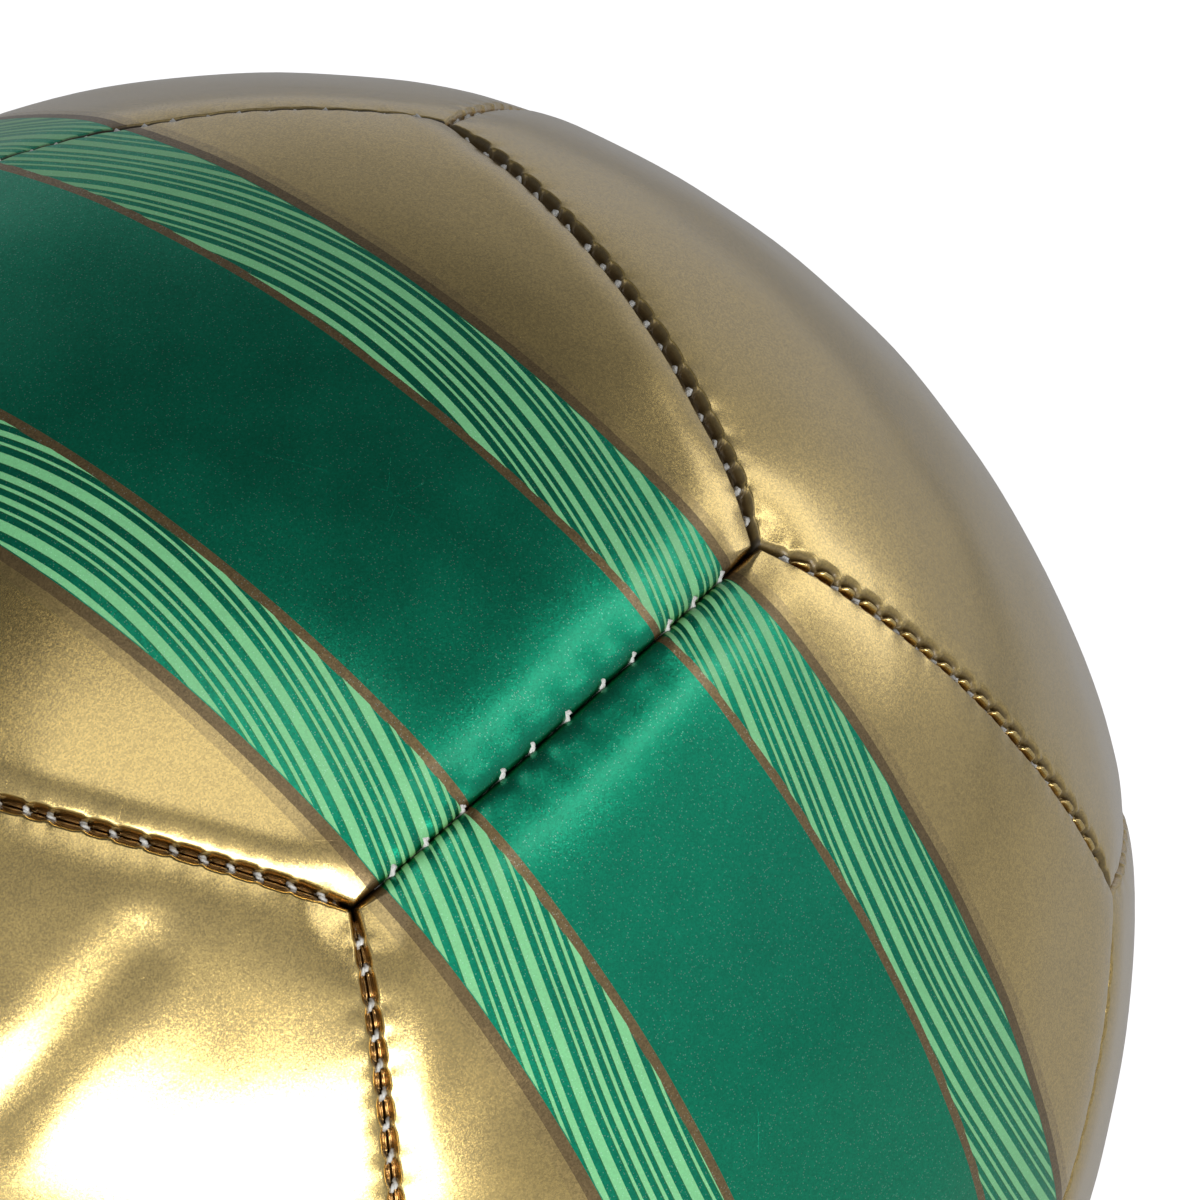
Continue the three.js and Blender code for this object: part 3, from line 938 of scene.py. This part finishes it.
# Vinyl: colours of the print, and of the painted shade in the seams
GOLD = (0.62, 0.448, 0.145)
BELT_GREEN = (0.005, 0.33, 0.175)
STRIPE_GREEN = (0.20, 0.57, 0.25)
STRIPE_EDGE = (0.03, 0.28, 0.11)
INNER_BROWN = (0.23, 0.16, 0.068)
OUTER_BROWN = (0.20, 0.138, 0.058)
TAN = (0.48, 0.345, 0.12)
SPARKLE = (0.6, 0.85, 0.75)
# Painted shade: rolls sunk into a seam are darkened towards this tint
SEAM_SHADE_TINT = (0.55, 0.43, 0.28)
# Painted shade: the dull dark brown given to rolled edges deep in some seams
PAINTED_SHADE_BROWN = (0.035, 0.026, 0.012)

# Vinyl: finish of the green field, inner line, outer line, tan edge and gold, then of the light stripes
TONE_CONTRAST = (0.3, 0.5, 0.5, 0.5, 0.42, 0.12)
METALLIC = (0.98, 0.85, 0.85, 0.95, 0.97, 0)
ROUGHNESS = (0.34, 0.38, 0.38, 0.29, 0.24, 0.4)
GLITTER = (0.1, 0.12, 0.12, 0.07, 0.055, 0.03)
COAT_WEIGHT = (0.25, 0.4, 0.4, 0.9, 1, 0.25)

# Vinyl: the same all over, with reaches and widths as shares of a cell's size
COAT_ROUGHNESS = 0.22
COAT_IOR = 1.6
# Metallic and roughness where that painted shade lies
PAINTED_SHADE_METALLIC = 0.2
PAINTED_SHADE_ROUGHNESS = 0.6
SEAM_SHADE = 1.8  # how soon a roll takes the seam's tint, as painted shade
GRAIN_SIZE = 0.3
GRAIN_DEPTH = 0.006
BLOTCH_SIZE = 6
BLOTCH_TONE = 0.16
BLOTCH_ROUGHNESS = 0.12
SPECKLE_SIZE = 0.14
FLAKE_SIZE = 0.1
SPARKLE_SIZE = 0.17
SPARKLE_REACH = 0.34
SPARKLE_RARITY = 0.82
SPARKLE_STRENGTH = 0.24
CREASE_SIZE = 11
CREASE_WIDTH = 0.007
CREASE_DEPTH = 0.6
CREASE_BEND = 2
CREASE_BEND_SIZE = 9
WORN_SIZE = 8
WORN_LEVEL = 0.56


def stripe_stops():
    """Steps of light and dark stripes over one period, from their widths in turn."""
    places = np.concatenate([[0], np.cumsum(STRIPE_WIDTHS)[:-1]]) / sum(STRIPE_WIDTHS)
    return [(place, float(number % 2 == 0)) for number, place in enumerate(places)]


class Vinyl(Graph):
    """Glossy metallic vinyl with the printed belt round the ball's X axis."""

    def __init__(self, name):
        super().__init__(name)
        self.spot = self.attribute(BALL_PLACE)
        # the painted seam shade: how far each point is sunk, and how dull and dark
        painted_shading = self.parts(self.attribute(SEAM_PAINTED_SHADING))
        self.sunken = painted_shading["X"]
        self.painted_shade = painted_shading["Y"]
        self.blotch = self.noise(self.spot, BLOTCH_SIZE, CLOUDY)
        way = self.parts(self.vector("NORMALIZE", self.spot))
        latitude = self.math("DEGREES", self.math("ARCSINE", way["X"]))
        latitude = self.math("SUBTRACT", latitude, BELT_SHIFT)
        self.distance = self.math("ABSOLUTE", latitude)
        phase = self.stripe_phase(way, latitude)
        self.light = self.stripes(phase)
        self.edged = self.stripes(self.math("FRACT", self.math("ADD", phase, STRIPE_EDGE_WIDTH)))

    def stripe_phase(self, way, latitude):
        """Place in the stripes' period, which drifts round the belt and jumps at the seams."""
        panel = self.add("ShaderNodeObjectInfo", {}).outputs["Object Index"]
        round_belt = self.math("ARCTAN2", way["Y"], way["Z"])
        wave = self.math("SINE", self.math("MULTIPLY", round_belt, DRIFT_WAVES))
        drifted = self.math("SUBTRACT", latitude, self.math("MULTIPLY", wave, STRIPE_DRIFT))
        slid = self.math("MULTIPLY_ADD", panel, PANEL_OFFSET, drifted)
        return self.math("FRACT", self.math("DIVIDE", slid, STRIPE_PERIOD))

    def stripes(self, phase):
        """1 on light stripes in the belt's striped zones, else 0."""
        above = self.math("GREATER_THAN", self.distance, INNER_LINE_EDGE)
        below = self.math("LESS_THAN", self.distance, STRIPES_EDGE)
        zone = self.math("MULTIPLY", above, below)
        return self.math("MULTIPLY", self.steps(phase, stripe_stops()), zone)

    def zones(self, field, inner, outer, tan, gold):
        """A level or a colour by zone, across the belt from its middle."""
        return self.steps(self.math("DIVIDE", self.distance, BELT_SPAN), [
            (0, field),
            (FIELD_EDGE / BELT_SPAN, inner),
            (INNER_LINE_EDGE / BELT_SPAN, field),
            (STRIPES_EDGE / BELT_SPAN, outer),
            (OUTER_LINE_EDGE / BELT_SPAN, tan),
            (TAN_EDGE / BELT_SPAN, gold),
        ])

    def printed(self, levels):
        """A finish by zone and stripe."""
        *zones, stripe = levels
        return self.blend(self.light, self.zones(*zones), stripe)

    def sparkles(self):
        """1 on fine dots strewn over the green print, else 0."""
        cells = self.cells(self.spot, SPARKLE_SIZE)
        near = self.math("LESS_THAN", cells["Distance"], SPARKLE_REACH)
        chosen = self.math("GREATER_THAN", self.red(cells["Color"]), SPARKLE_RARITY)
        green = self.math("LESS_THAN", self.distance, STRIPES_EDGE)
        return self.math("MULTIPLY", self.math("MULTIPLY", near, chosen), green)

    def color(self):
        base = self.zones(BELT_GREEN, INNER_BROWN, OUTER_BROWN, TAN, GOLD)
        base = self.mix(self.edged, base, STRIPE_EDGE)
        base = self.mix(self.light, base, STRIPE_GREEN)
        base = self.mix(self.math("MULTIPLY", self.sparkles(), SPARKLE_STRENGTH), base, SPARKLE)
        speckle = self.red(self.cells(self.spot, SPECKLE_SIZE)["Color"])
        tone = self.vary(speckle, self.printed(TONE_CONTRAST), 1)
        tone = self.vary(self.blotch, BLOTCH_TONE, tone)
        # Painted shade: darker towards the seam's tint the deeper a roll is sunk, and dull dark brown on
        # the rolled edges of some seams
        shade = self.math("MINIMUM", self.math("MULTIPLY", self.sunken, SEAM_SHADE), 1)
        shade = self.mix(shade, WHITE, SEAM_SHADE_TINT)
        color = self.vector("MULTIPLY", self.scaled(base, tone), shade)
        return self.mix(self.painted_shade, color, PAINTED_SHADE_BROWN)

    def roughness(self):
        rough = self.vary(self.blotch, BLOTCH_ROUGHNESS, self.printed(ROUGHNESS))
        return self.blend(self.painted_shade, rough, PAINTED_SHADE_ROUGHNESS)

    def creases(self):
        """1 on thin creases in worn places, else 0."""
        bend = self.noise(self.spot, CREASE_BEND_SIZE, output="Color")
        bent = self.vector("ADD", self.spot, self.scaled(bend, CREASE_BEND))
        edge = self.cells(bent, CREASE_SIZE, "DISTANCE_TO_EDGE")["Distance"]
        thin = self.math("LESS_THAN", edge, CREASE_WIDTH)
        worn = self.math("GREATER_THAN", self.noise(self.spot, WORN_SIZE), WORN_LEVEL)
        return self.math("MULTIPLY", thin, worn)

    def normal(self):
        """The surface's direction, tilted by metal flakes, with a fine grain and creases."""
        flake = self.vector("SUBTRACT", self.cells(self.spot, FLAKE_SIZE)["Color"], (0.5, 0.5, 0.5))
        flake = self.scaled(flake, self.printed(GLITTER))
        smooth = self.add("ShaderNodeNewGeometry", {}).outputs["Normal"]
        tilted = self.vector("NORMALIZE", self.vector("ADD", smooth, flake))
        grain = self.noise(self.spot, GRAIN_SIZE)
        height = self.math("MULTIPLY_ADD", self.creases(), -CREASE_DEPTH, grain)
        return self.bump(height, GRAIN_DEPTH, Normal=tilted)


def vinyl_material():
    vinyl = Vinyl("printed_vinyl")
    return vinyl.finish(
        Base_Color=vinyl.color(),
        Metallic=vinyl.blend(vinyl.painted_shade, vinyl.printed(METALLIC), PAINTED_SHADE_METALLIC),
        Roughness=vinyl.roughness(),
        Normal=vinyl.normal(),
        Coat_Weight=vinyl.blend(vinyl.painted_shade, vinyl.printed(COAT_WEIGHT), 0),
        Coat_Roughness=COAT_ROUGHNESS,
        Coat_IOR=COAT_IOR,
    )


# Thread
THREAD_GREY = (0.32, 0.31, 0.28)
THREAD_WHITE = (0.85, 0.84, 0.79)
THREAD_ROUGHNESS = 0.5
FIBRE_SIZE = 0.09
FIBRE_TONE = 0.5
FIBRE_ROUGHNESS = 0.2
FIBRE_DEPTH = 0.05
THREAD_SOIL_SIZE = 2.2
THREAD_SOIL_TONE = 0.6


def thread_material():
    """Pale waxed thread with fine fibres and some grey."""
    graph = Graph("waxed_thread")
    spot = graph.attribute(BALL_PLACE)
    fibre = graph.noise(spot, FIBRE_SIZE, CLOUDY)
    soil = graph.math("MULTIPLY", graph.noise(spot, THREAD_SOIL_SIZE), THREAD_SOIL_TONE)
    tone = graph.math("MULTIPLY_ADD", fibre, FIBRE_TONE, soil)
    return graph.finish(
        Base_Color=graph.mix(tone, THREAD_GREY, THREAD_WHITE),
        Roughness=graph.math("MULTIPLY_ADD", fibre, FIBRE_ROUGHNESS, THREAD_ROUGHNESS),
        Normal=graph.bump(fibre, FIBRE_DEPTH),
        Sheen_Weight=SHEEN,
    )


# Rubber
VALVE_BLACK = (0.012, 0.012, 0.013)
VALVE_BLOOM = (0.03, 0.03, 0.032)
BLADDER_BLACK = (0.02, 0.02, 0.02)
BLADDER_BLOOM = (0.05, 0.05, 0.05)
RUBBER_ROUGHNESS = 0.42
RUBBER_SKIN_SIZE = 0.35
RUBBER_SKIN_ROUGHNESS = 0.25
RUBBER_SKIN_DEPTH = 0.03
BLOOM_SIZE = 4


def rubber_material(name, color, bloom):
    """Dull rubber with a fine skin and a little bloom."""
    graph = Graph(name)
    place = graph.place()
    skin = graph.noise(place, RUBBER_SKIN_SIZE, LEATHERY)
    cloud = graph.noise(place, BLOOM_SIZE, CLOUDY)
    return graph.finish(
        Base_Color=graph.mix(cloud, color, bloom),
        Roughness=graph.math("MULTIPLY_ADD", skin, RUBBER_SKIN_ROUGHNESS, RUBBER_ROUGHNESS),
        Normal=graph.bump(skin, RUBBER_SKIN_DEPTH),
    )


# Lining cloth
CLOTH_GREY = (0.38, 0.36, 0.31)
CLOTH_WHITE = (0.80, 0.78, 0.72)
CLOTH_ROUGHNESS = 0.82
YARN_PITCH = 0.8
WEAVE_DEPTH = 0.12
WEAVE_TONE = 0.5
CLOTH_SOIL_SIZE = 3
CLOTH_SOIL_TONE = 0.4
CLOTH_SOIL_ROUGHNESS = 0.1


def cloth_material():
    """Plain woven lining cloth."""
    graph = Graph("lining_weave")
    place = graph.place()
    spot = graph.parts(place)
    over, under = (
        graph.math("SINE", graph.math("MULTIPLY", spot[axis], 2 * math.pi / YARN_PITCH)) for axis in "XY"
    )
    weave = graph.math("MULTIPLY_ADD", graph.math("MULTIPLY", over, under), 0.5, 0.5)
    soil = graph.noise(place, CLOTH_SOIL_SIZE, CLOUDY)
    tone = graph.math("MULTIPLY_ADD", soil, CLOTH_SOIL_TONE, graph.math("MULTIPLY", weave, WEAVE_TONE))
    return graph.finish(
        Base_Color=graph.mix(tone, CLOTH_GREY, CLOTH_WHITE),
        Roughness=graph.math("MULTIPLY_ADD", soil, CLOTH_SOIL_ROUGHNESS, CLOTH_ROUGHNESS),
        Normal=graph.bump(weave, WEAVE_DEPTH),
        Sheen_Weight=SHEEN,
    )


# Pieces

vinyl_look = vinyl_material()
thread_look = thread_material()
cloth_look = cloth_material()
for panel in PANELS:
    cover = build_panel(panel, vinyl_look)
    build_lining(panel, cloth_look)
for seam in SEAMS:
    build_thread(seam, thread_look)

valve_look = rubber_material("valve_skin", VALVE_BLACK, VALVE_BLOOM)
build_turned("valve_neck", "valve_body", rounded(VALVE_PROFILE), valve_look)
build_turned("valve_insert", "valve_plug", rounded(PLUG_PROFILE), valve_look)

bladder_look = rubber_material("bladder_skin", BLADDER_BLACK, BLADDER_BLOOM)
bladder_low, bladder_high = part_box("bladder")
bladder_radius = (bladder_high[0] - bladder_low[0]) / 2 / MM
bladder_profile = shell_profile(bladder_radius, bladder_radius - BLADDER_WALL, STEM_RADIUS + FIT)
build_turned("bladder_shell", "bladder", bladder_profile, bladder_look)


# Studio

PAPER_GREY = (0.66, 0.66, 0.66)
PAPER_WHITE = (0.70, 0.70, 0.70)
PAPER_ROUGHNESS = 0.9
PAPER_CLOUD_SIZE = 40


def direction(turn, elevation):
    """A unit vector from the ball: turn is to the right of the camera's side, elevation above the floor."""
    turn, elevation = math.radians(turn), math.radians(elevation)
    return Vector((
        math.sin(turn) * math.cos(elevation),
        -math.cos(turn) * math.cos(elevation),
        math.sin(elevation),
    ))


def softbox(name, turn, elevation, distance, width, height, radiance):
    """A lamp of even radiance that faces the ball and isn't seen itself."""
    lamp = bpy.data.lights.new(name, "AREA")
    lamp.shape = "RECTANGLE"
    lamp.size = width * MM
    lamp.size_y = height * MM
    lamp.energy = radiance * math.pi * lamp.size * lamp.size_y
    thing = bpy.data.objects.new(name, lamp)
    way = direction(turn, elevation)
    thing.location = way * distance * MM
    thing.rotation_euler = way.to_track_quat("Z", "Y").to_euler()
    thing.visible_camera = False
    bpy.context.collection.objects.link(thing)


def floor_material():
    """Pale paper that keeps the ball's shadow, with white added where it is looked at or mirrored."""
    graph = Graph("floor_paper")
    cloud = graph.noise(graph.place(), PAPER_CLOUD_SIZE, CLOUDY)
    graph.finish(Base_Color=graph.mix(cloud, PAPER_GREY, PAPER_WHITE), Roughness=PAPER_ROUGHNESS)
    path = graph.add("ShaderNodeLightPath", {}).outputs
    mirrored = graph.math("MAXIMUM", path["Is Glossy Ray"], path["Is Transmission Ray"])
    seen = graph.math("MULTIPLY", path["Is Camera Ray"], SEEN_WHITE)
    strength = graph.math("MULTIPLY_ADD", mirrored, MIRRORED_WHITE, seen)
    glow = graph.add("ShaderNodeEmission", {"Color": WHITE, "Strength": strength}).outputs[0]
    both = graph.add("ShaderNodeAddShader", {0: graph.shader.outputs[0], 1: glow}).outputs[0]
    graph.set(graph.tree.nodes["Material Output"].inputs["Surface"], both)
    return graph.material


def build_floor():
    """A round floor that the ball rests on."""
    mesh = bpy.data.meshes.new("floor")
    radius = FLOOR_RADIUS * MM
    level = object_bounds()[0].z
    rim = [(math.cos(angle) * radius, math.sin(angle) * radius, level) for angle in full_turn(FLOOR_SIDES)]
    mesh.from_pydata(rim, [], [tuple(range(FLOOR_SIDES))])
    mesh.materials.append(floor_material())
    floor = bpy.data.objects.new("floor", mesh)
    bpy.context.collection.objects.link(floor)


def build_world():
    """Pale walls under a dark ceiling."""
    world = bpy.data.worlds.new("studio")
    bpy.context.scene.world = world
    world.use_nodes = True
    nodes, links = world.node_tree.nodes, world.node_tree.links
    way = nodes.new("ShaderNodeTexCoord")
    parts = nodes.new("ShaderNodeSeparateXYZ")
    ramp = nodes.new("ShaderNodeValToRGB")
    low, high = ramp.color_ramp.elements
    low.position = math.sin(math.radians(HORIZON_TOP))
    low.color = (*HORIZON_GREY, 1)
    high.position = math.sin(math.radians(CEILING_EDGE))
    high.color = (*CEILING_GREY, 1)
    links.new(way.outputs["Generated"], parts.inputs[0])
    links.new(parts.outputs["Z"], ramp.inputs["Fac"])
    links.new(ramp.outputs["Color"], nodes["Background"].inputs["Color"])


def build_camera():
    """A long lens from the front and above, aimed past the ball's middle to its upper right."""
    data = bpy.data.cameras.new("camera")
    data.sensor_width = SENSOR_WIDTH
    data.lens = SENSOR_WIDTH * CAMERA_DISTANCE / VIEW_WIDTH
    data.clip_start = NEAREST_SEEN * MM
    data.clip_end = FURTHEST_SEEN * MM
    camera = bpy.data.objects.new("camera", data)
    back = direction(0, CAMERA_ELEVATION)
    right = Vector((1, 0, 0))
    up = back.cross(right)
    camera.location = (back * CAMERA_DISTANCE + right * AIM_RIGHT + up * AIM_UP) * MM
    camera.rotation_euler = back.to_track_quat("Z", "Y").to_euler()
    bpy.context.collection.objects.link(camera)
    bpy.context.scene.camera = camera


build_floor()
build_world()
build_camera()
softbox("key", turn=-4, elevation=3.5, distance=900, width=815, height=190, radiance=13)
softbox("overhead", turn=-15, elevation=55, distance=1200, width=900, height=540, radiance=1.22)
softbox("side", turn=66, elevation=42, distance=1000, width=960, height=140, radiance=3)
softbox("rim", turn=115, elevation=28, distance=1000, width=330, height=480, radiance=1.3)
bpy.context.scene.view_settings.view_transform = "Standard"
